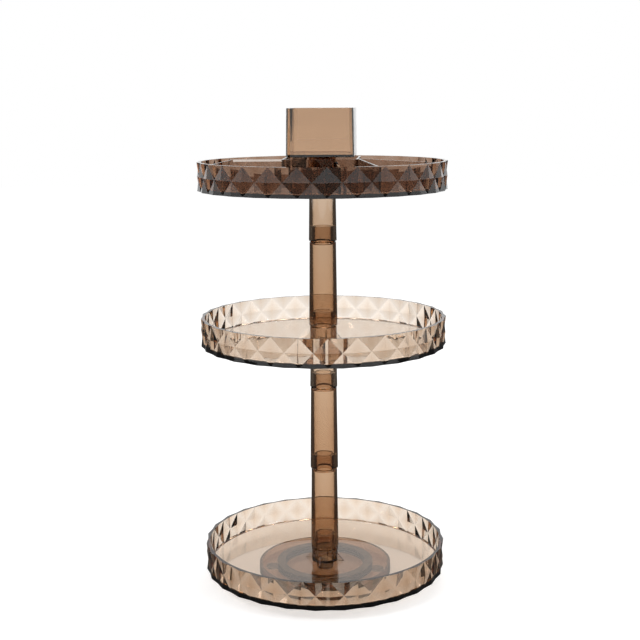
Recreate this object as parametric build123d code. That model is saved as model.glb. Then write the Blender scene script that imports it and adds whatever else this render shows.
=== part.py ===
from build123d import *
import os
from math import cos, sin, pi, radians, atan, degrees, hypot

# Three-tier turntable organizer in smoked clear plastic. Three round trays with
# diamond-cut rims are stacked on a plug-together column, and the stack turns on a
# ball turntable in the foot. The top tray holds a lift-out divider insert, and a
# square brush cup plugs onto its hub. Millimetres. The origin is on the table, on
# the column's axis; +Z is up, and the divider insert's long cross wall lies along X.

# ---- tray ----
RIM_R = 130.0            # to the points of the diamonds
FACET_DEPTH = 1.8        # how far a diamond's point stands out from the grooves
DIAMONDS = 28            # round each rim
RIM_H = 29.4             # full height of a tray's rim
RIM_WALL = 2.4           # rim wall at a groove, where it is thinnest
FLOOR_T = 3.0
FLOOR_FILLET = 2.0       # between a tray's floor and its rim
FACET_TURN = 180.0 / DIAMONDS   # degrees; puts a groove crossing at the front

# ---- column ----
HUB_R = 14.25            # hub standing on a tray's floor
HUB_SHOULDER = 18.0      # above the tray's underside, where the next piece sits
SPIGOT_R = 11.2          # spigot that enters the next piece
SPIGOT_L = 16.0
SPIGOT_BORE_R = 8.3
PLUG_GAP = 0.1           # radial clearance of a spigot in its socket
SOCKET_SPARE = 0.5       # free depth above a seated spigot
TUBE_L = 90.5            # a tube's visible length
TUBE_R_LOW = 15.0
TUBE_R_HIGH = 13.9
TUBE_WALL = 3.1
TUBE_NECK = 3.0          # thickness of the step between a tube's bore and its spigot's
MIDDLE_STUB_L = 48.7     # stub that hangs below the middle tray
TOP_STUB_L = 54.3        # stub that hangs below the top tray
STUB_R_LOW = 14.6
STUB_R_HIGH = 13.7
JOINT_CHAMFER = 1.4      # depth of the vee groove where two pieces meet
JOINT_CHAMFER_H = 0.8
FIN_COUNT = 4
FIN_REACH = 7.5          # gusset fins at the foot of a hub
FIN_H = 8.0
FIN_T = 1.8
FIN_TURN = -360.0 / DIAMONDS    # degrees; the fins stand one diamond round from X

# ---- divider insert in the top tray ----
WELL_W = 77.5            # square well round the hub, outside
WELL_CORNER_R = 6.0
WELL_TOP = 32.5          # above the tray's underside
DIVIDER_T = 2.0
DIVIDER_END = 28.5       # top of a divider where it meets the rim
INSERT_GAP = 0.4         # between a divider's end and the rim
LEFT_RUN_L = 88.0        # how far left of the axis the left divider turns towards the rim
FRONT_LEAVES = 15.0      # how far right of the axis the front divider leaves the well
SIDE_LEAVES = 19.0       # how far in front of it the slot and right dividers leave the well
REAR_LEAVES = 20.0       # how far left of it the rear divider leaves the well
RIM_AZIMUTHS = {"left": 211.0, "front": -78.0, "slot": -60.0, "right": -16.0, "rear": 112.0}

# ---- brush cup ----
CUP_W_TOP = 68.0
CUP_W_LOW = 69.6
CUP_WALL = 2.4
CUP_FLOOR = 2.3
CUP_CORNER_R = 6.0
CUP_H = 49.0             # from the underside of its floor to its mouth
CUP_SEAT_GAP = 0.3       # between the hub's end and the cup's floor
CUP_SOCKET_R = 14.25

# ---- foot and turntable ----
FOOT_R = 72.0
FOOT_T = 3.0
FOOT_WALL = 2.5
FOOT_TRAY_GAP = 0.8      # under the bottom tray
PAD_COUNT = 6
PAD_R = 7.0
PAD_T = 3.0
PAD_RECESS = 1.5
PAD_RING_R = 58.0
PAD_GAP = 0.1            # radial, in its recess
BALL_R = 2.5
BALL_COUNT = 16
BALL_RING_R = 48.0
BALL_GAP = 0.2           # between a ball and its groove
RACE_W = 9.0
RACE_T = 2.0
GROOVE_DEPTH = 0.8
CAGE_W = 8.4
CAGE_T = 1.6
CAGE_HOLE_GAP = 0.25
POST_R = 5.9
POST_GAP = 0.08          # radial running clearance in the bottom tray
POST_BOSS_R = 9.0
WASHER_R = 7.6
WASHER_T = 1.0
WASHER_GAP = 0.15        # end float of the tray under the washer
SCREW_R = 1.5
SCREW_L = 9.0
SCREW_HEAD_R = 3.4
SCREW_HEAD_H = 2.2
SCREW_BORE_GAP = 0.1
SCREW_SLOT_W = 0.8       # of the cross in its head
SCREW_SLOT_L = 4.6
SCREW_SLOT_DEPTH = 0.9

CUT_PAST = 1.0           # how far every cut runs past the face that it opens

# ---- heights worked out from these ----
foot_low = PAD_T - PAD_RECESS
foot_top = foot_low + FOOT_T
ball_z = foot_top + RACE_T - GROOVE_DEPTH + BALL_GAP + BALL_R
upper_race_z = ball_z + BALL_R + BALL_GAP - GROOVE_DEPTH
tray_z = {"bottom_tray": upper_race_z + RACE_T}
tube_z = {"lower_tube": tray_z["bottom_tray"] + HUB_SHOULDER}
tube_z["middle_tube"] = tube_z["lower_tube"] + TUBE_L
tray_z["middle_tray"] = tube_z["middle_tube"] + TUBE_L + MIDDLE_STUB_L
tube_z["upper_tube"] = tray_z["middle_tray"] + HUB_SHOULDER
tray_z["top_tray"] = tube_z["upper_tube"] + TUBE_L + TOP_STUB_L
post_top = tray_z["bottom_tray"] + FLOOR_T + WASHER_GAP
rim_inner_r = (RIM_R - FACET_DEPTH) * cos(pi / (2 * DIAMONDS)) - RIM_WALL
socket_r = SPIGOT_R + PLUG_GAP
socket_depth = SPIGOT_L + SOCKET_SPARE


def turned(*profile):
    """A solid of revolution about Z from (radius, height) points."""
    return revolve(Plane.XZ * make_face(Polyline(*profile, close=True)), Axis.Z)


def ring(inner_r, outer_r, low, high):
    return turned((inner_r, low), (outer_r, low), (outer_r, high), (inner_r, high))


def disc(radius, low, high):
    return Pos(0, 0, low) * Cylinder(radius, high - low, align=(Align.CENTER, Align.CENTER, Align.MIN))


def round_box(width, corner_r, low, high):
    return Pos(0, 0, low) * extrude(RectangleRounded(width, width, corner_r), amount=high - low)


def rim_point(half_step, height, radius):
    """A corner of the cut rim, counted in half diamonds from the front."""
    angle = radians(-90.0 + FACET_TURN + half_step * 180.0 / DIAMONDS)
    return Vector(radius * cos(angle), radius * sin(angle), height)


def rim_blank():
    """The solid prism of the rim: 28 raised diamonds and the half diamonds between them."""
    groove_r = RIM_R - FACET_DEPTH
    middle = RIM_H / 2
    faces = []
    for step in range(2 * DIAMONDS):
        on_diamond = step % 2 == 0
        near, far = (step, step + 1) if on_diamond else (step + 1, step)
        top = rim_point(near, RIM_H, groove_r)
        point = rim_point(near, middle, RIM_R)
        bottom = rim_point(near, 0, groove_r)
        crossing = rim_point(far, middle, groove_r)
        half_top = rim_point(far, RIM_H, RIM_R)
        half_bottom = rim_point(far, 0, RIM_R)
        for corners in ((top, point, crossing), (point, bottom, crossing),
                        (top, crossing, half_top), (bottom, half_bottom, crossing)):
            faces.append(Face(Wire.make_polygon(corners, close=True)))
    for height in (0, RIM_H):
        outline = [rim_point(s, height, groove_r if s % 2 == 0 else RIM_R) for s in range(2 * DIAMONDS)]
        faces.append(Face(Wire.make_polygon(outline, close=True)))
    return Solid(Shell(faces))


def tray_cavity(gap=0.0):
    """The space inside a rim, drawn in by gap, with the fillet's corner cut off."""
    wall_r = rim_inner_r - gap
    corner = FLOOR_FILLET + gap
    profile = Polyline((wall_r, FLOOR_T + corner), (wall_r, 2 * RIM_H), (0, 2 * RIM_H),
                       (0, FLOOR_T), (wall_r - corner, FLOOR_T))
    if gap:
        edge = Line(profile @ 1, profile @ 0)
    else:
        edge = RadiusArc(profile @ 1, profile @ 0, -corner)
    return revolve(Plane.XZ * make_face([*profile.edges(), edge]), Axis.Z)


def hub():
    """Hub, spigot and gusset fins on a tray's floor, with the tray's underside at zero."""
    high, spigot_top = HUB_SHOULDER, HUB_SHOULDER + SPIGOT_L
    body = turned((0, FLOOR_T / 2), (HUB_R, FLOOR_T / 2), (HUB_R, high - JOINT_CHAMFER_H),
                  (HUB_R - JOINT_CHAMFER, high), (SPIGOT_R, high), (SPIGOT_R, spigot_top), (0, spigot_top))
    root_r, tip_r, fin_top = HUB_R - FIN_T, HUB_R + FIN_REACH, FLOOR_T + FIN_H
    outline = Polyline((root_r, FLOOR_T / 2), (tip_r, FLOOR_T / 2), (tip_r, FLOOR_T),
                       (HUB_R, fin_top), (root_r, fin_top), close=True)
    fin = extrude(Plane.XZ * make_face(outline), amount=FIN_T / 2, both=True)
    for number in range(FIN_COUNT):
        body += Rot(0, 0, FIN_TURN + number * 360.0 / FIN_COUNT) * fin
    return body


def stub(length):
    """The tapered stub under a tray, with the tray's underside at zero."""
    low = -length
    blank = turned((0, FLOOR_T / 2), (0, low), (STUB_R_LOW - JOINT_CHAMFER, low),
                   (STUB_R_LOW, low + JOINT_CHAMFER_H), (STUB_R_HIGH, 0), (STUB_R_HIGH, FLOOR_T / 2))
    socket_top = low + socket_depth
    bore_r = STUB_R_HIGH - TUBE_WALL
    bore = turned((0, low - CUT_PAST), (socket_r, low - CUT_PAST), (socket_r, socket_top),
                  (bore_r, socket_top), (bore_r, -TUBE_NECK), (0, -TUBE_NECK))
    return blank, bore


def tray(name):
    body = rim_blank() - tray_cavity() + hub()
    hub_bore_top = HUB_SHOULDER + SPIGOT_L + CUT_PAST
    body -= disc(SPIGOT_BORE_R, FLOOR_T, hub_bore_top)
    if name == "bottom_tray":
        body -= disc(POST_R + POST_GAP, -CUT_PAST, FLOOR_T + CUT_PAST)
    else:
        stub_blank, stub_bore = stub(MIDDLE_STUB_L if name == "middle_tray" else TOP_STUB_L)
        body = body + stub_blank - stub_bore
    return Pos(0, 0, tray_z[name]) * body


def tube(name):
    """A column tube: socket below, bore, and a spigot on top."""
    neck, spigot_top = TUBE_L - TUBE_NECK, TUBE_L + SPIGOT_L
    blank = turned((0, 0), (TUBE_R_LOW - JOINT_CHAMFER, 0), (TUBE_R_LOW, JOINT_CHAMFER_H),
                   (TUBE_R_HIGH, TUBE_L - JOINT_CHAMFER_H), (TUBE_R_HIGH - JOINT_CHAMFER, TUBE_L),
                   (SPIGOT_R, TUBE_L), (SPIGOT_R, spigot_top), (0, spigot_top))
    bore_r = TUBE_R_HIGH - TUBE_WALL
    bore = turned((0, -CUT_PAST), (socket_r, -CUT_PAST), (socket_r, socket_depth),
                  (bore_r, socket_depth), (bore_r, neck), (SPIGOT_BORE_R, neck),
                  (SPIGOT_BORE_R, spigot_top + CUT_PAST), (0, spigot_top + CUT_PAST))
    return Pos(0, 0, tube_z[name]) * (blank - bore)


def upright(start, end, start_top, end_top):
    """A divider wall between two plan points, with its top edge running straight between two heights."""
    (x0, y0), (x1, y1) = start, end
    length = hypot(x1 - x0, y1 - y0)
    side = Plane(origin=(x0, y0, 0), x_dir=(x1 - x0, y1 - y0, 0), z_dir=(y1 - y0, x0 - x1, 0))
    outline = Polyline((0, FLOOR_T), (length, FLOOR_T), (length, end_top), (0, start_top), close=True)
    return extrude(side * make_face(outline), amount=DIVIDER_T / 2, both=True)


def on_rim(name):
    angle = radians(RIM_AZIMUTHS[name])
    return (rim_inner_r * cos(angle), rim_inner_r * sin(angle))


def divider_insert():
    """A square well round the hub, and five dividers from it to the rim."""
    middle = WELL_W / 2 - DIVIDER_T / 2
    well_inner_w = WELL_W - 2 * DIVIDER_T
    bend = (-LEFT_RUN_L, -middle)
    body = round_box(WELL_W, WELL_CORNER_R, FLOOR_T, WELL_TOP)
    body += upright((-WELL_CORNER_R, -middle), bend, WELL_TOP, WELL_TOP)
    body += upright(bend, on_rim("left"), WELL_TOP, DIVIDER_END)
    body += Pos(*bend) * disc(DIVIDER_T / 2, FLOOR_T, WELL_TOP)
    starts = {"front": (FRONT_LEAVES, -middle), "slot": (middle, -SIDE_LEAVES),
              "right": (middle, -SIDE_LEAVES), "rear": (-REAR_LEAVES, middle)}
    for name, start in starts.items():
        body += upright(start, on_rim(name), WELL_TOP, DIVIDER_END)
    body -= round_box(well_inner_w, WELL_CORNER_R - DIVIDER_T, 0, RIM_H * 2)
    body &= tray_cavity(INSERT_GAP)
    return Pos(0, 0, tray_z["top_tray"]) * body


def brush_cup():
    """A square cup with rounded corners, on a socket that plugs onto the top tray's hub."""
    low = HUB_SHOULDER + SPIGOT_L + CUP_SEAT_GAP
    lean = degrees(atan((CUP_W_LOW - CUP_W_TOP) / 2 / CUP_H))
    inner_w, inner_corner_r = CUP_W_LOW - 2 * CUP_WALL, CUP_CORNER_R - CUP_WALL
    outside = extrude(RectangleRounded(CUP_W_LOW, CUP_W_LOW, CUP_CORNER_R), amount=CUP_H, taper=lean)
    inside = extrude(RectangleRounded(inner_w, inner_w, inner_corner_r), amount=CUP_H + CUT_PAST, taper=lean)
    body = Pos(0, 0, low) * (outside - Pos(0, 0, CUP_FLOOR) * inside)
    seat, in_floor = HUB_SHOULDER, low + CUP_FLOOR / 2
    body += turned((socket_r, seat), (CUP_SOCKET_R - JOINT_CHAMFER, seat),
                   (CUP_SOCKET_R, seat + JOINT_CHAMFER_H), (CUP_SOCKET_R, in_floor), (socket_r, in_floor))
    body -= disc(socket_r, 0, low)
    return Pos(0, 0, tray_z["top_tray"]) * body


def on_ring(radius, count, number):
    angle = 2 * pi * number / count
    return Pos(radius * cos(angle), radius * sin(angle), 0)


def foot():
    wall_top = tray_z["bottom_tray"] - FOOT_TRAY_GAP
    body = disc(FOOT_R, foot_low, foot_top)
    body += ring(FOOT_R - FOOT_WALL, FOOT_R, foot_top, wall_top)
    body += disc(POST_BOSS_R, foot_top, wall_top)
    body += disc(POST_R, wall_top, post_top)
    body -= disc(SCREW_R + SCREW_BORE_GAP, post_top - SCREW_L - CUT_PAST, post_top + CUT_PAST)
    for number in range(PAD_COUNT):
        body -= on_ring(PAD_RING_R, PAD_COUNT, number) * disc(PAD_R + PAD_GAP, foot_low - CUT_PAST, PAD_T)
    return body


def race(low):
    """A flat ring with a ball groove; the same moulding faces up on the foot and down on the tray."""
    flat = ring(BALL_RING_R - RACE_W / 2, BALL_RING_R + RACE_W / 2, low, low + RACE_T)
    return flat - Pos(0, 0, ball_z) * Torus(BALL_RING_R, BALL_R + BALL_GAP)


def ball_cage():
    low, high = ball_z - CAGE_T / 2, ball_z + CAGE_T / 2
    body = ring(BALL_RING_R - CAGE_W / 2, BALL_RING_R + CAGE_W / 2, low, high)
    hole = disc(BALL_R + CAGE_HOLE_GAP, low - CUT_PAST, high + CUT_PAST)
    for number in range(BALL_COUNT):
        body -= on_ring(BALL_RING_R, BALL_COUNT, number) * hole
    return body


def bearing_balls():
    ball = Pos(0, 0, ball_z) * Sphere(BALL_R)
    return Compound(children=[on_ring(BALL_RING_R, BALL_COUNT, n) * ball for n in range(BALL_COUNT)])


def pivot_screw():
    seat = post_top + WASHER_T
    head_top = seat + SCREW_HEAD_H
    body = disc(SCREW_HEAD_R, seat, head_top) + disc(SCREW_R, post_top - SCREW_L, seat)
    for length, width in ((SCREW_SLOT_L, SCREW_SLOT_W), (SCREW_SLOT_W, SCREW_SLOT_L)):
        body -= Pos(0, 0, head_top) * Box(length, width, 2 * SCREW_SLOT_DEPTH)
    return body


def pivot_washer():
    return ring(SCREW_R + SCREW_BORE_GAP, WASHER_R, post_top, post_top + WASHER_T)


def pieces():
    made = {"foot": foot(), "lower_race": race(foot_top), "upper_race": race(upper_race_z),
            "ball_cage": ball_cage(), "bearing_balls": bearing_balls(),
            "pivot_screw": pivot_screw(), "pivot_washer": pivot_washer()}
    for number in range(PAD_COUNT):
        made[f"rubber_pad_{number + 1}"] = on_ring(PAD_RING_R, PAD_COUNT, number) * disc(PAD_R, 0, PAD_T)
    for name in tray_z:
        made[name] = tray(name)
    for name in tube_z:
        made[name] = tube(name)
    made["divider_insert"] = divider_insert()
    made["brush_cup"] = brush_cup()
    return made


os.makedirs("parts", exist_ok=True)
for node, shape in pieces().items():
    export_step(shape, f"parts/{node}.step")
    print(f"{node}: {len(shape.solids())} solid(s), {shape.volume / 1000:.2f} cm3")
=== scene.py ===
import bpy
import bmesh
from math import atan2, cos, hypot, pi, radians, sin
from mathutils import Matrix, Vector


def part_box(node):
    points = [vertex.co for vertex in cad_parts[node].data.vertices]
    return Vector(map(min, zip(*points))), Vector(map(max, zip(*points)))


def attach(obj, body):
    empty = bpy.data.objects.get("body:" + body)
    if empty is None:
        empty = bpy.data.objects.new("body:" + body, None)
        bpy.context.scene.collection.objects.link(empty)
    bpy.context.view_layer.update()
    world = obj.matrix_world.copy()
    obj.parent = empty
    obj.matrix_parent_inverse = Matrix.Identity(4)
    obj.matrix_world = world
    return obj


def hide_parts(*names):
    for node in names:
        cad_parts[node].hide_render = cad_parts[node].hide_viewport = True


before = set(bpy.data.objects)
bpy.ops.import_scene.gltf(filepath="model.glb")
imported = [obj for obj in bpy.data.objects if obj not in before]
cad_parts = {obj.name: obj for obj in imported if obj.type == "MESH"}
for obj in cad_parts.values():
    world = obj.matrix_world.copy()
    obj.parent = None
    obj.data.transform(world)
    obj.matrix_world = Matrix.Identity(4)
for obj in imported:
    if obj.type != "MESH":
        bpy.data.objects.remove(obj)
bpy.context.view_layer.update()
mm = 0.001
up = Vector((0, 0, 1))

# a hair of air is left where two plastic pieces touch, because touching glass faces confuse the light
airGap = 0.04 * mm

# how far a cutting shape reaches beyond what it cuts, and how close points are before they are merged
past = 1 * mm
mergeGap = 0.001 * mm

# turning steps of narrow round parts
narrowSteps = 96


def deselectAll():
    if bpy.context.object and bpy.context.object.mode != "OBJECT":
        bpy.ops.object.mode_set(mode="OBJECT")
    bpy.ops.object.select_all(action="DESELECT")


def pickOnly(piece, *others):
    deselectAll()
    for one in (*others, piece):
        one.select_set(True)
    bpy.context.view_layer.objects.active = piece


def choose(kind, test):
    # selects what passes the test in the mesh being edited, and says how many did
    bpy.ops.mesh.select_mode(type=kind)
    bpy.ops.mesh.select_all(action="DESELECT")
    mesh = bmesh.from_edit_mesh(bpy.context.object.data)
    chosen = [e for e in {"VERT": mesh.verts, "EDGE": mesh.edges, "FACE": mesh.faces}[kind] if test(e)]
    for element in chosen:
        element.select_set(True)
    mesh.select_flush_mode()
    bmesh.update_edit_mesh(bpy.context.object.data)
    return len(chosen)


def middle(edge):
    return (edge.verts[0].co + edge.verts[1].co) / 2


def radius(point):
    return hypot(point.x, point.y)


def isSharp(edge, degreesLimit):
    return len(edge.link_faces) == 2 and edge.calc_face_angle(0) > radians(degreesLimit)


def placed(name):
    # leaves edit mode and puts the piece's place into its mesh
    bpy.ops.object.mode_set(mode="OBJECT")
    bpy.ops.object.transform_apply(location=True, rotation=True, scale=True)
    bpy.context.object.name = name
    return bpy.context.object


def closed(points):
    return [points + points[:1]]


def turned(name, profiles, steps):
    # each profile is drawn from one vertex by extrusion, and all are spun about the column's axis
    deselectAll()
    bpy.ops.mesh.primitive_plane_add(size=mm)
    bpy.ops.object.mode_set(mode="EDIT")
    bpy.ops.mesh.select_mode(type="VERT")
    bpy.ops.mesh.delete(type="VERT")
    for points in profiles:
        bpy.ops.mesh.select_all(action="DESELECT")
        bpy.ops.mesh.primitive_plane_add(size=mm)
        bpy.ops.mesh.merge(type="CENTER")
        bpy.ops.transform.translate(value=(points[0][0], 0, points[0][1]))
        for here, there in zip(points, points[1:]):
            step = (there[0] - here[0], 0, there[1] - here[1])
            bpy.ops.mesh.extrude_region_move(TRANSFORM_OT_translate={"value": step})
    bpy.ops.mesh.select_all(action="SELECT")
    bpy.ops.mesh.remove_doubles(threshold=mergeGap)
    bpy.ops.mesh.spin(steps=steps, angle=2 * pi, center=(0, 0, 0), axis=(0, 0, 1))
    bpy.ops.mesh.select_all(action="SELECT")
    bpy.ops.mesh.remove_doubles(threshold=mergeGap)
    bpy.ops.mesh.normals_make_consistent(inside=False)
    return placed(name)


def roundBox(name, width, cornerRadius, low, high, topWidth=None, cornerSteps=10):
    # a square block whose upright edges are rounded, drawn in towards its top where topWidth is given
    deselectAll()
    bpy.ops.mesh.primitive_cube_add(size=1, location=(0, 0, (low + high) / 2),
                                    scale=(width, width, high - low))
    bpy.ops.object.transform_apply(location=True, rotation=True, scale=True)
    bpy.ops.object.mode_set(mode="EDIT")
    choose("EDGE", lambda e: abs((e.verts[0].co - e.verts[1].co).z) > 0.5 * (high - low))
    bpy.ops.mesh.bevel(offset=cornerRadius, segments=cornerSteps, affect="EDGES")
    if topWidth:
        choose("VERT", lambda v: v.co.z > high - 0.1 * mm)
        bpy.ops.transform.resize(value=(topWidth / width, topWidth / width, 1), center_override=(0, 0, high))
    return placed(name)


def combine(piece, tool, operation):
    # joins or cuts with another solid, which is used up
    pickOnly(piece)
    bpy.ops.object.modifier_add(type="BOOLEAN")
    modifier = piece.modifiers[-1]
    modifier.object, modifier.operation, modifier.solver = tool, operation, "EXACT"
    bpy.ops.object.modifier_apply(modifier=modifier.name)
    bpy.data.objects.remove(tool)
    return piece


def softenEdges(piece, width, segments, test):
    # the small round that a mould leaves on an edge
    pickOnly(piece)
    bpy.ops.object.mode_set(mode="EDIT")
    count = choose("EDGE", test)
    if count:
        bpy.ops.mesh.bevel(offset=width, segments=segments, affect="EDGES", clamp_overlap=True)
    bpy.ops.object.mode_set(mode="OBJECT")
    return count


def smoothBelow(piece, limit):
    pickOnly(piece)
    bpy.ops.object.shade_smooth_by_angle(angle=radians(limit))


def colour(code):
    # an sRGB hex value as the linear colour that a shader takes
    channels = [int(code[i:i + 2], 16) / 255 for i in (1, 3, 5)]
    return (*[c / 12.92 if c <= 0.04045 else ((c + 0.055) / 1.055) ** 2.4 for c in channels], 1)


def newMaterial(name):
    made = bpy.data.materials.new(name)
    made.use_nodes = True
    made.node_tree.nodes.clear()
    return made, made.node_tree


def addNode(tree, kind, settings=None, links=None):
    node = tree.nodes.new(kind)
    for key, value in (settings or {}).items():
        if isinstance(key, str) and hasattr(node, key):
            setattr(node, key, value)
        else:
            node.inputs[key].default_value = value
    for key, source in (links or {}).items():
        tree.links.new(source, node.inputs[key])
    return node


def addRamp(tree, factor, lowCode, highCode):
    ramp = addNode(tree, "ShaderNodeValToRGB", {}, {"Fac": factor})
    ramp.color_ramp.elements[0].color = colour(lowCode)
    ramp.color_ramp.elements[1].color = colour(highCode)
    return ramp.outputs["Color"]


def finishWith(piece, material):
    piece.data.materials.clear()
    piece.data.materials.append(material)


# clear polystyrene with a smoky brown tint, injection moulded and polished: thin walls let a warm
# light through, thick edges go nearly black, and the flow of the melt leaves faint waves
# dyesAndPaintedShade: the tint, and how much light is lost to each metre of plastic, fitted piece by piece to
# the tones in the photograph, although the mouldings of one set would rather share one dye; the shared tint
# is the plastic's own, but the densities and the insert's tint that differ from piece to piece are painted
# shade, lit and shaded copies of one plastic, and the foot's dense one paints the shadow that lies under the
# trays
# drumPaintedShade: painted shade, a deeper tint on the skin of a tray's drum that darkens its rim, fitted in
# the same way
smoked = {
    "dyesAndPaintedShade": {
        "bottomTray": ("#CFA147", 190.0), "middleTray": ("#CFA147", 150.0), "topTray": ("#CFA147", 190.0),
        "column": ("#CFA147", 250.0), "insert": ("#BB9D7F", 420.0), "cup": ("#CFA147", 400.0),
        "foot": ("#CFA147", 700.0),
    },
    "drumPaintedShade": {"topTray": "#B7A59C"}, "drumBlend": 1.5 * mm, "clear": "#FFFFFF", "ior": 1.57,
    "roughLow": 0.004, "roughHigh": 0.02,
    "hazeScale": 60.0, "hazeDetail": 3.0, "hazeFrom": 0.35, "hazeTo": 0.7,
    "waveSize": 9 * mm, "waveHeight": 0.008 * mm, "waveDetail": 1.5, "waveMix": 0.4,
}


def smokedPolystyrene(piece):
    tint, density = smoked["dyesAndPaintedShade"][piece]
    made, tree = newMaterial("smokedPolystyrene_" + piece)
    place = addNode(tree, "ShaderNodeTexCoord").outputs["Object"]
    waves = addNode(tree, "ShaderNodeTexNoise",
                    {"Scale": 1 / smoked["waveSize"], "Detail": smoked["waveDetail"],
                     "Roughness": smoked["waveMix"]}, {"Vector": place})
    haze = addNode(tree, "ShaderNodeTexNoise", {"Scale": smoked["hazeScale"], "Detail": smoked["hazeDetail"]},
                   {"Vector": place})
    rough = addNode(tree, "ShaderNodeMapRange", {"From Min": smoked["hazeFrom"], "From Max": smoked["hazeTo"],
                                                 "To Min": smoked["roughLow"], "To Max": smoked["roughHigh"]},
                    {"Value": haze.outputs["Fac"]})
    bump = addNode(tree, "ShaderNodeBump", {"Strength": 1.0, "Distance": smoked["waveHeight"]},
                   {"Height": waves.outputs["Fac"]})
    shell = addNode(tree, "ShaderNodeBsdfPrincipled",
                    {"Base Color": colour(smoked["clear"]), "IOR": smoked["ior"], "Transmission Weight": 1.0},
                    {"Roughness": rough.outputs["Result"], "Normal": bump.outputs["Normal"]})
    if piece in smoked["drumPaintedShade"]:
        # the painted shade begins at the drum's underside, so that the stub below it stays clear
        low = trayLow[piece]
        height = addNode(tree, "ShaderNodeSeparateXYZ", {}, {"Vector": place})
        share = addNode(tree, "ShaderNodeMapRange", {"From Min": low, "From Max": low + smoked["drumBlend"]},
                        {"Value": height.outputs["Z"]})
        tone = addRamp(tree, share.outputs["Result"], smoked["clear"], smoked["drumPaintedShade"][piece])
        tree.links.new(tone, shell.inputs["Base Color"])
    # the volume's density, and the insert's tint, carry the painted shade fitted to each piece
    inside = addNode(tree, "ShaderNodeVolumeAbsorption", {"Color": colour(tint), "Density": density})
    addNode(tree, "ShaderNodeOutputMaterial", {}, {"Surface": shell.outputs["BSDF"],
                                                   "Volume": inside.outputs["Volume"]})
    return made


# black thermoplastic rubber from a matt mould: dull, with a fine grain
rubberLook = {
    "dark": "#1C1A1A", "light": "#2E2B2A", "grain": 0.4 * mm, "grainDetail": 2.0, "grainHeight": 0.05 * mm,
    "bump": 0.6, "roughness": 0.75, "ior": 1.52,
}


def padRubber():
    look = rubberLook
    made, tree = newMaterial("mattRubber")
    place = addNode(tree, "ShaderNodeTexCoord").outputs["Object"]
    grain = addNode(tree, "ShaderNodeTexNoise", {"Scale": 1 / look["grain"], "Detail": look["grainDetail"]},
                    {"Vector": place})
    tone = addRamp(tree, grain.outputs["Fac"], look["dark"], look["light"])
    bump = addNode(tree, "ShaderNodeBump", {"Strength": look["bump"], "Distance": look["grainHeight"]},
                   {"Height": grain.outputs["Fac"]})
    skin = addNode(tree, "ShaderNodeBsdfPrincipled", {"Roughness": look["roughness"], "IOR": look["ior"]},
                   {"Base Color": tone, "Normal": bump.outputs["Normal"]})
    addNode(tree, "ShaderNodeOutputMaterial", {}, {"Surface": skin.outputs["BSDF"]})
    return made


# dark brown acetal, moulded: waxy, with a soft sheen and a faint bloom of grease in the grooves, and
# deep enough in tone not to show as a pale ring through the smoked trays
acetalLook = {
    "dark": "#2B1F18", "light": "#3D2F25", "bloom": 12 * mm, "bloomDetail": 4.0,
    "roughLow": 0.32, "roughHigh": 0.5, "grain": 0.6 * mm, "grainDetail": 2.0, "grainHeight": 0.02 * mm,
    "bump": 0.4, "ior": 1.48,
}


def mouldedAcetal():
    look = acetalLook
    made, tree = newMaterial("mouldedAcetal")
    place = addNode(tree, "ShaderNodeTexCoord").outputs["Object"]
    bloom = addNode(tree, "ShaderNodeTexNoise", {"Scale": 1 / look["bloom"], "Detail": look["bloomDetail"]},
                    {"Vector": place})
    tone = addRamp(tree, bloom.outputs["Fac"], look["dark"], look["light"])
    rough = addNode(tree, "ShaderNodeMapRange", {"To Min": look["roughLow"], "To Max": look["roughHigh"]},
                    {"Value": bloom.outputs["Fac"]})
    grain = addNode(tree, "ShaderNodeTexNoise", {"Scale": 1 / look["grain"], "Detail": look["grainDetail"]},
                    {"Vector": place})
    bump = addNode(tree, "ShaderNodeBump", {"Strength": look["bump"], "Distance": look["grainHeight"]},
                   {"Height": grain.outputs["Fac"]})
    skin = addNode(tree, "ShaderNodeBsdfPrincipled", {"IOR": look["ior"]},
                   {"Base Color": tone, "Roughness": rough.outputs["Result"],
                    "Normal": bump.outputs["Normal"]})
    addNode(tree, "ShaderNodeOutputMaterial", {}, {"Surface": skin.outputs["BSDF"]})
    return made


# bright ground steel: fine lines left by grinding, about a tenth of a millimetre apart
steelLook = {
    "tone": "#C3C2C1", "lineGap": 0.1 * mm, "lineLength": 2 * mm, "lineDetail": 2.0, "lineHeight": 0.004 * mm,
    "bump": 0.5, "roughLow": 0.12, "roughHigh": 0.28,
}


def groundSteel():
    look = steelLook
    made, tree = newMaterial("groundSteel")
    place = addNode(tree, "ShaderNodeTexCoord").outputs["Object"]
    across, along = 1 / look["lineGap"], 1 / look["lineLength"]
    lay = addNode(tree, "ShaderNodeMapping", {"Scale": (across, along, across)}, {"Vector": place})
    lines = addNode(tree, "ShaderNodeTexNoise", {"Scale": 1.0, "Detail": look["lineDetail"]},
                    {"Vector": lay.outputs["Vector"]})
    rough = addNode(tree, "ShaderNodeMapRange", {"To Min": look["roughLow"], "To Max": look["roughHigh"]},
                    {"Value": lines.outputs["Fac"]})
    bump = addNode(tree, "ShaderNodeBump", {"Strength": look["bump"], "Distance": look["lineHeight"]},
                   {"Height": lines.outputs["Fac"]})
    metal = addNode(tree, "ShaderNodeBsdfPrincipled", {"Base Color": colour(look["tone"]), "Metallic": 1.0},
                    {"Roughness": rough.outputs["Result"], "Normal": bump.outputs["Normal"]})
    addNode(tree, "ShaderNodeOutputMaterial", {}, {"Surface": metal.outputs["BSDF"]})
    return made


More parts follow.
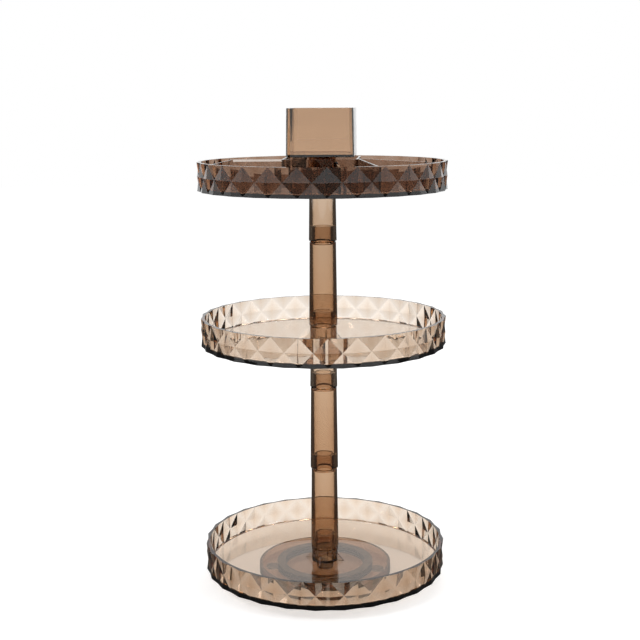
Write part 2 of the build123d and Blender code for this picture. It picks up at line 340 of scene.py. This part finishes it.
tray = {
    "rimRadius": 130.0 * mm, "facetDepth": 1.8 * mm, "diamonds": 28, "rimHeight": 29.4 * mm,
    "innerRadius": 125.6 * mm, "floor": 3.0 * mm, "floorFillet": 2.0 * mm, "filletSteps": 5,
    "hubRadius": 14.25 * mm, "hubShoulder": 18.0 * mm, "chamfer": 1.4 * mm, "chamferHeight": 0.8 * mm,
    "spigotRadius": 11.2 * mm, "spigotLength": 16.0 * mm, "spigotBore": 8.3 * mm, "postHole": 5.98 * mm,
    "middleStub": 48.7 * mm, "topStub": 54.3 * mm, "stubLowRadius": 14.6 * mm, "stubHighRadius": 13.7 * mm,
    "socketRadius": 11.3 * mm, "socketDepth": 16.5 * mm, "wall": 3.1 * mm, "neck": 3.0 * mm,
    "finReach": 7.5 * mm, "finHeight": 8.0 * mm, "finThickness": 1.8 * mm, "fins": 4,
    "ridgeRound": 0.12 * mm, "grooveWidth": 0.6 * mm, "grooveSteps": 3, "lipRound": 0.35 * mm, "lipSteps": 3,
    "edgeRound": 0.2 * mm, "edgeSteps": 2, "facetAngle": 4, "lipAngle": 60, "hubAngle": 30, "smoothAngle": 3,
    "ridgeMargin": 0.2 * mm, "facetMargin": 0.4 * mm, "grooveBand": 0.7 * mm, "turnSteps": 224,
}

# the height of each drum's underside
trayLow = {
    "bottomTray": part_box("bottom_tray")[0].z,
    "middleTray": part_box("middle_tray")[0].z + tray["middleStub"],
    "topTray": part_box("top_tray")[0].z + tray["topStub"],
}

plastic = {piece: smokedPolystyrene(piece) for piece in smoked["dyesAndPaintedShade"]}
rubber = padRubber()
acetal = mouldedAcetal()
steel = groundSteel()
print("materials made")


def facetedDrum(name, low):
    # a drum with two corners to each diamond; the corners are moved in and out by turns, and every
    # side panel splits along its shorter diagonal, which is a groove
    corners = 2 * tray["diamonds"]
    under, high = low + airGap, low + tray["rimHeight"]
    half = low + tray["rimHeight"] / 2
    pulledIn = (tray["rimRadius"] - tray["facetDepth"]) / tray["rimRadius"]
    deselectAll()
    bpy.ops.mesh.primitive_cylinder_add(vertices=corners, radius=tray["rimRadius"], depth=high - under,
                                        location=(0, 0, (under + high) / 2))
    bpy.ops.object.transform_apply(location=True, rotation=True, scale=True)
    bpy.ops.object.mode_set(mode="EDIT")
    bpy.ops.mesh.select_all(action="SELECT")
    bpy.ops.mesh.bisect(plane_co=(0, 0, half), plane_no=up)

    def isPulledIn(v):
        corner = round((atan2(v.co.y, v.co.x) + pi / 2) / (2 * pi) * corners)
        return (corner % 2 == 1) != (abs(v.co.z - half) < mm)

    choose("VERT", isPulledIn)
    bpy.ops.transform.resize(value=(pulledIn, pulledIn, 1), center_override=(0, 0, half))
    choose("FACE", lambda f: len(f.verts) == 4)
    bpy.ops.mesh.quads_convert_to_tris(quad_method="SHORTEST_DIAGONAL")
    return placed(name)


def trayRoom(low):
    # the air inside the rim, with the round that joins the floor to the wall
    floorTop, corner, inner = low + tray["floor"], tray["floorFillet"], tray["innerRadius"]
    wallLine = []
    for step in range(tray["filletSteps"] + 1):
        angle = pi / 2 * step / tray["filletSteps"]
        wallLine.append((inner - corner * (1 - sin(angle)), floorTop + corner * (1 - cos(angle))))
    over = low + tray["rimHeight"] + past
    return turned("trayRoom", closed([(0, floorTop), *wallLine, (inner, over), (0, over)]), tray["turnSteps"])


def hubRing(low):
    t = tray
    root, shoulder = low + t["floor"] / 2, low + t["hubShoulder"]
    spigotTop = shoulder + t["spigotLength"]
    return turned("hubRing", closed([
        (t["spigotBore"], root), (t["hubRadius"], root), (t["hubRadius"], shoulder - t["chamferHeight"]),
        (t["hubRadius"] - t["chamfer"], shoulder), (t["spigotRadius"], shoulder),
        (t["spigotRadius"], spigotTop), (t["spigotBore"], spigotTop)]), narrowSteps)


def stubSocket(low, length):
    t = tray
    root, foot = low + t["floor"] / 2, low - length + airGap
    bore, socketTop = t["stubHighRadius"] - t["wall"], low - length + t["socketDepth"]
    return turned("stubSocket", closed([
        (0, root), (0, low - t["neck"]), (bore, low - t["neck"]), (bore, socketTop),
        (t["socketRadius"], socketTop), (t["socketRadius"], foot), (t["stubLowRadius"] - t["chamfer"], foot),
        (t["stubLowRadius"], foot + t["chamferHeight"]), (t["stubHighRadius"], root)]), narrowSteps)


def postHole(low):
    side, under, over = tray["postHole"], low - past, low + tray["floor"] + past
    return turned("postHole", closed([(0, under), (side, under), (side, over), (0, over)]), narrowSteps)


def gussetFins(low):
    # one fin cut slantwise from a block, then three turned copies of it
    t = tray
    root, tip = t["hubRadius"] - t["finThickness"], t["hubRadius"] + t["finReach"]
    bottom, top = low + t["floor"] / 2, low + t["floor"] + t["finHeight"]
    deselectAll()
    bpy.ops.mesh.primitive_cube_add(size=1, location=((root + tip) / 2, 0, (bottom + top) / 2),
                                    scale=(tip - root, t["finThickness"], top - bottom))
    bpy.ops.object.transform_apply(location=True, rotation=True, scale=True)
    bpy.ops.object.mode_set(mode="EDIT")
    bpy.ops.mesh.select_all(action="SELECT")
    slant = Vector((t["finHeight"], 0, t["finReach"])).normalized()
    bpy.ops.mesh.bisect(plane_co=(tip, 0, low + t["floor"]), plane_no=slant, use_fill=True, clear_outer=True)
    bpy.ops.mesh.select_all(action="SELECT")
    turn = 2 * pi / t["diamonds"]
    bpy.ops.mesh.spin(steps=1, angle=turn, center=(0, 0, 0), axis=(0, 0, 1), dupli=True)
    choose("VERT", lambda v: abs(v.co.y) <= t["finThickness"] / 2 + 0.01 * mm)
    bpy.ops.mesh.delete(type="VERT")
    bpy.ops.mesh.select_all(action="SELECT")
    bpy.ops.mesh.spin(steps=t["fins"] - 1, angle=2 * pi * (t["fins"] - 1) / t["fins"], center=(0, 0, 0),
                      axis=(0, 0, 1), dupli=True)
    bpy.ops.mesh.select_all(action="SELECT")
    bpy.ops.mesh.normals_make_consistent(inside=False)
    return placed("fins")


def makeTray(name, stubLength):
    low = trayLow[name]
    body = facetedDrum(name, low)
    combine(body, trayRoom(low), "DIFFERENCE")
    combine(body, hubRing(low), "UNION")
    combine(body, gussetFins(low), "UNION")
    if stubLength:
        combine(body, stubSocket(low, stubLength), "UNION")
    else:
        combine(body, postHole(low), "DIFFERENCE")
    # an edge between facets is a ridge where it reaches the full radius, and a groove where it stays at the
    # inner one, each within a small margin
    fullRadius = tray["rimRadius"] - tray["ridgeMargin"]
    outside = tray["rimRadius"] - tray["facetDepth"] - tray["facetMargin"]
    grooveRadius = outside + tray["grooveBand"]

    def facetEnds(edge):
        isFacet = isSharp(edge, tray["facetAngle"]) and not isSharp(edge, tray["lipAngle"])
        ends = [radius(v.co) for v in edge.verts]
        return ends if isFacet and min(ends) > outside else None

    def isRidge(edge):
        ends = facetEnds(edge)
        return bool(ends) and max(ends) > fullRadius

    def isGroove(edge):
        ends = facetEnds(edge)
        return bool(ends) and max(ends) < grooveRadius

    def isLip(edge):
        isOutside = radius(middle(edge)) > tray["innerRadius"] - tray["ridgeMargin"]
        return isOutside and isSharp(edge, tray["lipAngle"])

    def isFloorOrHub(edge):
        return isSharp(edge, tray["hubAngle"]) and radius(middle(edge)) < tray["innerRadius"] - mm

    counts = [softenEdges(body, tray["ridgeRound"], 1, isRidge),
              softenEdges(body, tray["grooveWidth"], tray["grooveSteps"], isGroove),
              softenEdges(body, tray["lipRound"], tray["lipSteps"], isLip),
              softenEdges(body, tray["edgeRound"], tray["edgeSteps"], isFloorOrHub)]
    smoothBelow(body, tray["smoothAngle"])
    finishWith(body, plastic[name])
    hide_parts(name.replace("Tray", "_tray"))
    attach(body, "carousel")
    print(name, "made, with softened edges:", counts)


makeTray("bottomTray", 0)
makeTray("middleTray", tray["middleStub"])
makeTray("topTray", tray["topStub"])


tube = {
    "lowRadius": 15.0 * mm, "highRadius": 13.9 * mm, "length": 90.5 * mm, "chamfer": 1.4 * mm,
    "chamferHeight": 0.8 * mm, "edgeRound": 0.2 * mm, "edgeSteps": 2, "edgeAngle": 20, "smoothAngle": 12,
}


def makeTube(name, node):
    t, low = tube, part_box(node)[0].z
    high, spigotTop = low + t["length"], low + t["length"] + tray["spigotLength"]
    foot, bore = low + airGap, t["highRadius"] - tray["wall"]
    socketTop, neck = low + tray["socketDepth"], high - tray["neck"]
    profile = [(tray["socketRadius"], foot), (t["lowRadius"] - t["chamfer"], foot),
               (t["lowRadius"], foot + t["chamferHeight"]), (t["highRadius"], high - t["chamferHeight"]),
               (t["highRadius"] - t["chamfer"], high), (tray["spigotRadius"], high),
               (tray["spigotRadius"], spigotTop), (tray["spigotBore"], spigotTop), (tray["spigotBore"], neck),
               (bore, neck), (bore, socketTop), (tray["socketRadius"], socketTop)]
    made = turned(name, closed(profile), narrowSteps)
    softenEdges(made, t["edgeRound"], t["edgeSteps"], lambda e: isSharp(e, t["edgeAngle"]))
    smoothBelow(made, t["smoothAngle"])
    finishWith(made, plastic["column"])
    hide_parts(node)
    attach(made, "carousel")
    print(name, "made")


makeTube("lowerTube", "lower_tube")
makeTube("middleTube", "middle_tube")
makeTube("upperTube", "upper_tube")


cup = {
    "lowWidth": 69.6 * mm, "topWidth": 68.0 * mm, "cornerRadius": 6.0 * mm, "wall": 2.4 * mm,
    "floor": 2.3 * mm, "seatGap": 0.3 * mm, "socketOutside": 14.25 * mm, "edgeRound": 0.35 * mm,
    "edgeSteps": 3, "edgeAngle": 40, "smoothAngle": 15,
}


def makeCup():
    c = cup
    seat = trayLow["topTray"] + tray["hubShoulder"]
    low, high = seat + tray["spigotLength"] + c["seatGap"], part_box("brush_cup")[1].z
    made = roundBox("brushCup", c["lowWidth"], c["cornerRadius"], low, high, c["topWidth"])
    inside = roundBox("cupInside", c["lowWidth"] - 2 * c["wall"], c["cornerRadius"] - c["wall"],
                      low + c["floor"], high + past, c["topWidth"] - 2 * c["wall"])
    combine(made, inside, "DIFFERENCE")
    under, root = seat + airGap, low + c["floor"] / 2
    socket = turned("cupSocket", closed([
        (tray["socketRadius"], root), (tray["socketRadius"], under),
        (c["socketOutside"] - tray["chamfer"], under), (c["socketOutside"], under + tray["chamferHeight"]),
        (c["socketOutside"], root)]), narrowSteps)
    combine(made, socket, "UNION")
    softenEdges(made, c["edgeRound"], c["edgeSteps"], lambda e: isSharp(e, c["edgeAngle"]))
    smoothBelow(made, c["smoothAngle"])
    finishWith(made, plastic["cup"])
    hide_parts("brush_cup")
    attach(made, "cup")
    print("brushCup made")


makeCup()


insert = {
    "wellWidth": 77.5 * mm, "cornerRadius": 6.0 * mm, "wall": 2.0 * mm, "wellTop": 32.5 * mm,
    "rimEnd": 28.5 * mm, "rimGap": 0.4 * mm, "leftRun": 88.0 * mm, "frontLeaves": 15.0 * mm,
    "sideLeaves": 19.0 * mm, "rearLeaves": 20.0 * mm, "edgeRound": 0.5 * mm, "edgeSteps": 3, "edgeAngle": 40,
    "smoothAngle": 15, "bendSteps": 32,
    "rimAzimuths": {"left": 211, "front": -78, "slot": -60, "right": -16, "rear": 112},
}


def dividerWall(name, start, end, startTop, endTop, low):
    # a block as long as the wall, its far top corners lowered, then swung round its start
    length, thickness = hypot(end[0] - start[0], end[1] - start[1]), insert["wall"]
    deselectAll()
    bpy.ops.mesh.primitive_cube_add(size=1, location=(length / 2, 0, (low + startTop) / 2),
                                    scale=(length, thickness, startTop - low))
    bpy.ops.object.transform_apply(location=True, rotation=True, scale=True)
    bpy.ops.object.mode_set(mode="EDIT")
    choose("VERT", lambda v: v.co.x > length / 2 and v.co.z > (low + startTop) / 2)
    bpy.ops.transform.translate(value=(0, 0, endTop - startTop))
    bpy.ops.object.mode_set(mode="OBJECT")
    made = bpy.context.object
    swing = Matrix.Rotation(atan2(end[1] - start[1], end[0] - start[0]), 4, "Z")
    made.data.transform(Matrix.Translation((start[0], start[1], 0)) @ swing)
    made.name = name
    return made


def makeInsert():
    s, trayUnder = insert, trayLow["topTray"]
    low, wellTop = trayUnder + tray["floor"] + airGap, trayUnder + s["wellTop"]
    rimEnd, line = trayUnder + s["rimEnd"], (s["wellWidth"] - s["wall"]) / 2
    ends = {name: (tray["innerRadius"] * cos(radians(a)), tray["innerRadius"] * sin(radians(a)))
            for name, a in s["rimAzimuths"].items()}
    made = roundBox("dividerInsert", s["wellWidth"], s["cornerRadius"], low, wellTop)
    bend = (-s["leftRun"], -line)
    walls = [("leftWall", (-line / 2, -line), bend, wellTop, wellTop),
             ("leftEnd", bend, ends["left"], wellTop, rimEnd),
             ("frontWall", (s["frontLeaves"], -line), ends["front"], wellTop, rimEnd),
             ("slotWall", (line, -s["sideLeaves"]), ends["slot"], wellTop, rimEnd),
             ("rightWall", (line, -s["sideLeaves"]), ends["right"], wellTop, rimEnd),
             ("rearWall", (-s["rearLeaves"], line), ends["rear"], wellTop, rimEnd)]
    for name, start, end, startTop, endTop in walls:
        combine(made, dividerWall(name, start, end, startTop, endTop, low), "UNION")
    deselectAll()
    bpy.ops.mesh.primitive_cylinder_add(vertices=s["bendSteps"], radius=s["wall"] / 2, depth=wellTop - low,
                                        location=(*bend, (low + wellTop) / 2))
    combine(made, placed("bendRound"), "UNION")
    combine(made, roundBox("wellInside", s["wellWidth"] - 2 * s["wall"], s["cornerRadius"] - s["wall"],
                           low - past, wellTop + past), "DIFFERENCE")
    wallRadius = tray["innerRadius"] - s["rimGap"]
    rounding = tray["floorFillet"] + s["rimGap"]
    combine(made, turned("rimRoom", [[(0, low - past), (wallRadius - rounding, low - past),
                                      (wallRadius - rounding, low), (wallRadius, low + rounding),
                                      (wallRadius, wellTop + past), (0, wellTop + past)]],
                         tray["turnSteps"]), "INTERSECT")
    softenEdges(made, s["edgeRound"], s["edgeSteps"], lambda e: isSharp(e, s["edgeAngle"]))
    smoothBelow(made, s["smoothAngle"])
    finishWith(made, plastic["insert"])
    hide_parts("divider_insert")
    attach(made, "insert")
    print("dividerInsert made")


makeInsert()


foot = {
    "radius": 72.0 * mm, "plate": 3.0 * mm, "wall": 2.5 * mm, "trayGap": 0.8 * mm, "bossRadius": 9.0 * mm,
    "postRadius": 5.9 * mm, "washerGap": 0.15 * mm, "boreRadius": 1.6 * mm, "boreDepth": 10.0 * mm,
    "padCount": 6, "padRing": 58.0 * mm, "recessRadius": 7.1 * mm, "recess": 1.5 * mm, "recessSteps": 48,
    "edgeRound": 0.3 * mm, "edgeSteps": 2, "edgeAngle": 40, "smoothAngle": 15, "turnSteps": 128,
}


def makeFoot():
    f, low = foot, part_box("foot")[0].z
    plateTop, wallTop = low + f["plate"] - airGap, trayLow["bottomTray"] - f["trayGap"]
    postTop = trayLow["bottomTray"] + tray["floor"] + f["washerGap"] - airGap
    wallInside, boreLow = f["radius"] - f["wall"], postTop - f["boreDepth"]
    profile = [(0, low), (f["radius"], low), (f["radius"], wallTop), (wallInside, wallTop),
               (wallInside, plateTop), (f["bossRadius"], plateTop), (f["bossRadius"], wallTop),
               (f["postRadius"], wallTop), (f["postRadius"], postTop), (f["boreRadius"], postTop),
               (f["boreRadius"], boreLow), (0, boreLow)]
    made = turned("roundFoot", [profile], f["turnSteps"])
    for number in range(f["padCount"]):
        angle = 2 * pi * number / f["padCount"]
        deselectAll()
        bpy.ops.mesh.primitive_cylinder_add(vertices=f["recessSteps"], radius=f["recessRadius"],
                                            depth=2 * (f["recess"] + airGap),
                                            location=(f["padRing"] * cos(angle),
                                                      f["padRing"] * sin(angle), low))
        combine(made, placed("recess"), "DIFFERENCE")
    softenEdges(made, f["edgeRound"], f["edgeSteps"], lambda e: isSharp(e, f["edgeAngle"]))
    smoothBelow(made, f["smoothAngle"])
    finishWith(made, plastic["foot"])
    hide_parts("foot")
    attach(made, "base")
    print("roundFoot made")


makeFoot()

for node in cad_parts:
    if node.startswith("rubber_pad"):
        finishWith(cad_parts[node], rubber)
    elif node in ("lower_race", "upper_race", "ball_cage"):
        finishWith(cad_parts[node], acetal)
    elif node in ("bearing_balls", "pivot_screw", "pivot_washer"):
        finishWith(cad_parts[node], steel)
print("turntable finished")


# the levels and colours of a white room with a pale floor, and how far light is followed through the plastic
studio = {
    "floorSize": 12.0, "floorColour": "#D8D8D8", "nearGlow": 0.55, "farGlow": 0.64, "fadeRadius": 2.5,
    "ambient": 0.55, "whiteCode": "#FFFFFF", "mirroredRoom": 0.95, "mirroredFloor": 0.1,
    "clearBounces": 32, "glossyBounces": 12,
}


def seenDirectly(tree, path):
    # 1 for rays from the camera, in a mirror or through clear plastic, 0 for light that falls on things
    mirrored = addNode(tree, "ShaderNodeMath", {"operation": "MAXIMUM"},
                       {0: path.outputs["Is Camera Ray"], 1: path.outputs["Is Glossy Ray"]})
    return addNode(tree, "ShaderNodeMath", {"operation": "MAXIMUM"},
                   {0: mirrored.outputs[0], 1: path.outputs["Is Transmission Ray"]}).outputs[0]


def afterMirrors(tree, path, level):
    # each reflection on the way dims the room to this level again: no real room does this, but it draws
    # clear edges dark against the white from every side, as black cards do in a studio
    return addNode(tree, "ShaderNodeMath", {"operation": "POWER", 0: level},
                   {1: path.outputs["Glossy Depth"]}).outputs[0]


def makeWorld():
    world = bpy.data.worlds.new("whiteRoom")
    world.use_nodes = True
    tree = world.node_tree
    tree.nodes.clear()
    path = addNode(tree, "ShaderNodeLightPath")
    strength = addNode(tree, "ShaderNodeMapRange", {"To Min": studio["ambient"]},
                       {"Value": seenDirectly(tree, path),
                        "To Max": afterMirrors(tree, path, studio["mirroredRoom"])})
    glow = addNode(tree, "ShaderNodeBackground", {"Color": colour(studio["whiteCode"])},
                   {"Strength": strength.outputs["Result"]})
    addNode(tree, "ShaderNodeOutputWorld", {}, {"Surface": glow.outputs["Background"]})
    bpy.context.scene.world = world


def makeFloor():
    deselectAll()
    bpy.ops.mesh.primitive_plane_add(size=studio["floorSize"])
    floor = bpy.context.object
    floor.name = "floor"
    made, tree = newMaterial("whiteSweep")
    made.cycles.emission_sampling = "NONE"  # the glow is only seen, and lights nothing
    path = addNode(tree, "ShaderNodeLightPath")
    level = afterMirrors(tree, path, studio["mirroredFloor"])
    # the sweep gains a little light away from the object, so that it meets the backdrop without a line
    place = addNode(tree, "ShaderNodeTexCoord").outputs["Object"]
    away = addNode(tree, "ShaderNodeVectorMath", {"operation": "LENGTH"}, {0: place})
    glowLevel = addNode(tree, "ShaderNodeMapRange",
                        {"From Max": studio["fadeRadius"], "To Min": studio["nearGlow"],
                         "To Max": studio["farGlow"]}, {"Value": away.outputs["Value"]})
    seenGlow = addNode(tree, "ShaderNodeMath", {"operation": "MULTIPLY"},
                       {0: glowLevel.outputs["Result"], 1: seenDirectly(tree, path)})
    strength = addNode(tree, "ShaderNodeMath", {"operation": "MULTIPLY"}, {0: seenGlow.outputs[0], 1: level})
    # painted shade: the paper's colour is dimmed by the same level where it is seen in reflections
    mirrorShadedPaper = addNode(tree, "ShaderNodeVectorMath",
                        {"operation": "SCALE", 0: colour(studio["floorColour"])[:3]}, {"Scale": level})
    paper = addNode(tree, "ShaderNodeBsdfDiffuse", {}, {"Color": mirrorShadedPaper.outputs["Vector"]})
    glow = addNode(tree, "ShaderNodeEmission", {"Color": colour(studio["whiteCode"])},
                   {"Strength": strength.outputs[0]})
    both = addNode(tree, "ShaderNodeAddShader", {}, {0: paper.outputs["BSDF"], 1: glow.outputs["Emission"]})
    addNode(tree, "ShaderNodeOutputMaterial", {}, {"Surface": both.outputs["Shader"]})
    finishWith(floor, made)


# places and sizes in metres, power in watts
lampTarget = Vector((0, 0, 0.25))
lamps = {
    "key": {"place": (-1.3, -1.2, 1.7), "size": 0.7, "power": 15},
    "fill": {"place": (1.5, -0.8, 1.2), "size": 0.7, "power": 9},
    "back": {"place": (0.3, 1.5, 1.5), "size": 1.0, "power": 9},
}


def makeLamps():
    for name, lamp in lamps.items():
        light = bpy.data.lights.new(name, "AREA")
        light.shape, light.size, light.energy = "SQUARE", lamp["size"], lamp["power"]
        holder = bpy.data.objects.new(name, light)
        holder.location = lamp["place"]
        holder.rotation_euler = (lampTarget - holder.location).to_track_quat("-Z", "Y").to_euler()
        holder.visible_camera = False
        bpy.context.scene.collection.objects.link(holder)


# the photograph's viewpoint, fitted to the three rims: turn, pitch and roll in degrees, distance and height
# in metres, sensor and lens in millimetres
shot = {
    "turn": 4.43, "distance": 1.2238, "height": 0.5113, "pitch": 10.53, "roll": -0.4,
    "sensor": 36, "lens": 65.75, "shiftX": -0.0052,
}


def makeCamera():
    camera = bpy.data.objects.new("camera", bpy.data.cameras.new("camera"))
    camera.data.sensor_width, camera.data.lens = shot["sensor"], shot["lens"]
    camera.data.shift_x = shot["shiftX"]
    turn = radians(shot["turn"])
    camera.location = (shot["distance"] * sin(turn), -shot["distance"] * cos(turn), shot["height"])
    aim = Matrix.Rotation(turn, 3, "Z") @ Matrix.Rotation(radians(90 - shot["pitch"]), 3, "X")
    camera.rotation_euler = (aim @ Matrix.Rotation(radians(shot["roll"]), 3, "Z")).to_euler()
    bpy.context.scene.collection.objects.link(camera)
    bpy.context.scene.camera = camera


makeWorld()
makeFloor()
makeLamps()
makeCamera()
scene = bpy.context.scene
scene.view_settings.view_transform = "Standard"
scene.cycles.max_bounces = studio["clearBounces"]
scene.cycles.transmission_bounces = studio["clearBounces"]
scene.cycles.glossy_bounces = studio["glossyBounces"]
print("studio made")
